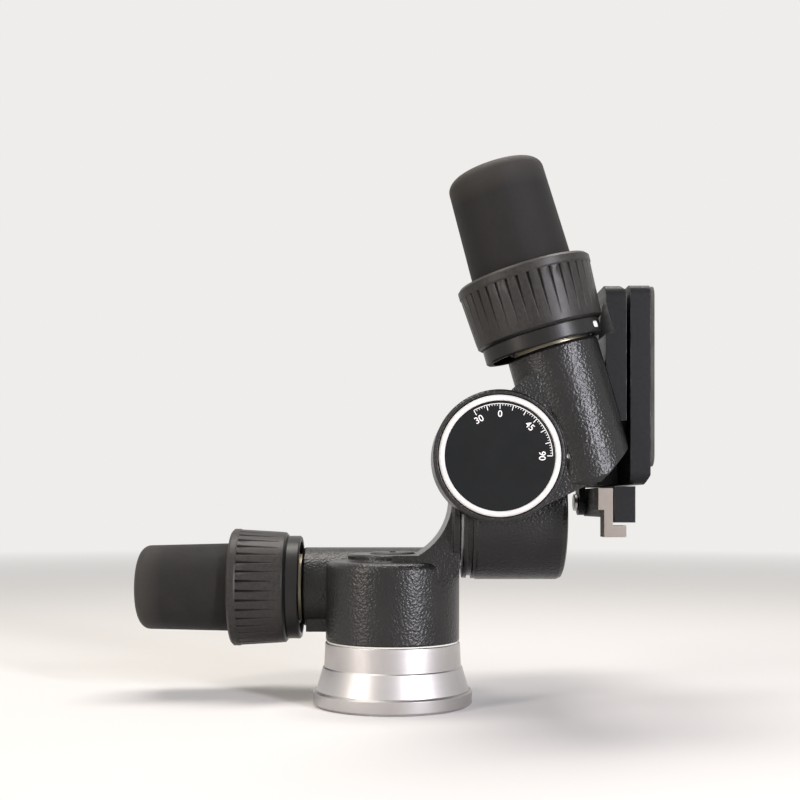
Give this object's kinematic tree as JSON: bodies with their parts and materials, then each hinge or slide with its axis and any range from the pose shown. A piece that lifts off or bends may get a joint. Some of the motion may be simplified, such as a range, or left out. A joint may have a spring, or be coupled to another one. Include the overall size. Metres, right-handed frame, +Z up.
{
  "type": "geared tripod head",
  "caption": "Geared tripod head: stacked worm drives for pan and two tilts, knobs with ribbed release collars, degree dials and a quick-release camera platform.",
  "frame": {"origin": "centre of the tripod base's bottom face, at the mouth of the tripod socket", "axes": "+Z up along the pan axis, +X from the pan axis towards the camera platform, -Y towards the dial of the front tilt"},
  "size_m": [0.1965, 0.1564, 0.1941],
  "materials": {
    "satin_aluminium": "satin turned",
    "black_casting": "fine crinkle paint on cast aluminium",
    "black_moulding": "semi-matt moulded",
    "grip_rubber": "matt",
    "steel": "machined",
    "spring_steel": "oiled wire",
    "bearing_bronze": "machined",
    "dial_black": "satin",
    "dial_white": "satin",
    "acetal": "satin",
    "black_cover": "glass-filled moulding",
    "vial_green": "clear tinted",
    "platform_black": "satin black anodised",
    "pad_rubber": "ribbed matt"
  },
  "bodies": {
    "base": {"base_ring": "satin_aluminium", "base_screws": "steel", "pan_spindle": "steel", "pan_worm_wheel": "bearing_bronze", "pan_thrust_washer": "acetal", "pan_top_plug": "steel"},
    "pan_stage": {"pan_housing": "black_casting", "pan_bush": "acetal", "lateral_spindle": "satin_aluminium", "lateral_spindle_screws": "steel", "lateral_worm_wheel": "bearing_bronze", "lateral_dial": "dial_black", "lateral_dial_ring": "dial_white"},
    "lateral_stage": {"lateral_housing": "black_casting", "lateral_bush": "acetal", "lateral_bearing_cover": "black_cover", "lateral_pointer": "dial_white", "front_spindle": "satin_aluminium", "front_spindle_screws": "steel", "front_worm_wheel": "bearing_bronze", "front_dial": "dial_black", "front_dial_ring": "dial_white"},
    "front_stage": {"front_casting": "black_casting", "front_bush": "acetal", "front_bearing_cover": "black_cover", "front_pointer": "dial_white", "platform": "platform_black", "platform_screws": "steel", "level_housing": "black_moulding", "level_vial": "vial_green", "lever_pivot": "steel"},
    "pan_release": {"pan_release_collar": "black_moulding", "pan_eccentric_sleeve": "satin_aluminium", "pan_release_spring": "spring_steel"},
    "pan_worm": {"pan_worm_shaft": "satin_aluminium", "pan_knob_core": "black_moulding", "pan_knob_grip": "grip_rubber"},
    "lateral_release": {"lateral_release_collar": "black_moulding", "lateral_eccentric_sleeve": "satin_aluminium", "lateral_release_spring": "spring_steel"},
    "lateral_worm": {"lateral_worm_shaft": "satin_aluminium", "lateral_knob_core": "black_moulding", "lateral_knob_grip": "grip_rubber"},
    "front_release": {"front_release_collar": "black_moulding", "front_eccentric_sleeve": "satin_aluminium", "front_release_spring": "spring_steel"},
    "front_worm": {"front_worm_shaft": "satin_aluminium", "front_knob_core": "black_moulding", "front_knob_grip": "grip_rubber"},
    "lever": {"lock_lever": "black_moulding"},
    "catch": {"safety_catch": "steel"},
    "quick_plate": {"camera_plate": "platform_black", "plate_pad": "pad_rubber"},
    "plate_screw": {"camera_screw": "steel"},
    "plate_ring": {"screw_ring": "spring_steel"}
  },
  "joints": [
    {"name": "pan_turn", "type": "hinge", "parent": "base", "child": "pan_stage", "pos_m": [0, 0, 0.0422], "axis": [0, 0, 1], "continuous": true},
    {"name": "lateral_tilt", "type": "hinge", "parent": "pan_stage", "child": "lateral_stage", "pos_m": [0.045, 0, 0.071], "axis": [1, 0, 0], "range_deg": [-90, 30]},
    {"name": "front_tilt", "type": "hinge", "parent": "lateral_stage", "child": "front_stage", "pos_m": [0.036, -0.04, 0.0913], "axis": [0, -1, 0], "range_deg": [0, 112]},
    {"name": "pan_release_turn", "type": "hinge", "parent": "pan_stage", "child": "pan_release", "pos_m": [0, 0.0288, 0.0422], "axis": [-1, 0, 0], "range_deg": [0, 70], "stiffness_Nm_per_rad": 0.15},
    {"name": "lateral_release_turn", "type": "hinge", "parent": "lateral_stage", "child": "lateral_release", "pos_m": [0.045, 0, 0.0998], "axis": [0, 1, 0], "range_deg": [0, 70], "stiffness_Nm_per_rad": 0.15},
    {"name": "front_release_turn", "type": "hinge", "parent": "front_stage", "child": "front_release", "pos_m": [0.06368, -0.04, 0.09924], "axis": [-0.2756, 0, 0.9613], "range_deg": [0, 70], "stiffness_Nm_per_rad": 0.15},
    {"name": "pan_worm_turn", "type": "hinge", "parent": "pan_release", "child": "pan_worm", "pos_m": [0, 0.0262, 0.0422], "axis": [-1, 0, 0], "continuous": true},
    {"name": "lateral_worm_turn", "type": "hinge", "parent": "lateral_release", "child": "lateral_worm", "pos_m": [0.045, 0, 0.0972], "axis": [0, 1, 0], "range_deg": [-1440, 4320]},
    {"name": "front_worm_turn", "type": "hinge", "parent": "front_release", "child": "front_worm", "pos_m": [0.06119, -0.04, 0.09852], "axis": [-0.2756, 0, 0.9613], "range_deg": [0, 5376]},
    {"name": "lock_lever_turn", "type": "hinge", "parent": "front_stage", "child": "lever", "pos_m": [0.0795, 0.022, 0.076], "axis": [1, 0, 0], "range_deg": [0, 70], "stiffness_Nm_per_rad": 0.05},
    {"name": "safety_catch_slide", "type": "slide", "parent": "lever", "child": "catch", "axis": [0, 0, -1], "range_m": [0, 0.0025], "stiffness_N_per_m": 200},
    {"name": "plate_lift", "type": "slide", "parent": "front_stage", "child": "quick_plate", "axis": [1, 0, 0], "range_m": [0, 0.03]},
    {"name": "camera_screw_turn", "type": "hinge", "parent": "quick_plate", "child": "plate_screw", "pos_m": [0.085, 0, 0.1163], "axis": [1, 0, 0], "continuous": true},
    {"name": "screw_ring_flip", "type": "hinge", "parent": "plate_screw", "child": "plate_ring", "pos_m": [0.0824, 0, 0.1163], "axis": [0, -1, 0], "range_deg": [0, 90]}
  ],
  "couplings": [
    {"joint": "pan_worm_turn", "follows": "pan_turn", "ratio": 48},
    {"joint": "lateral_worm_turn", "follows": "lateral_tilt", "ratio": -48},
    {"joint": "front_worm_turn", "follows": "front_tilt", "ratio": 48}
  ]
}
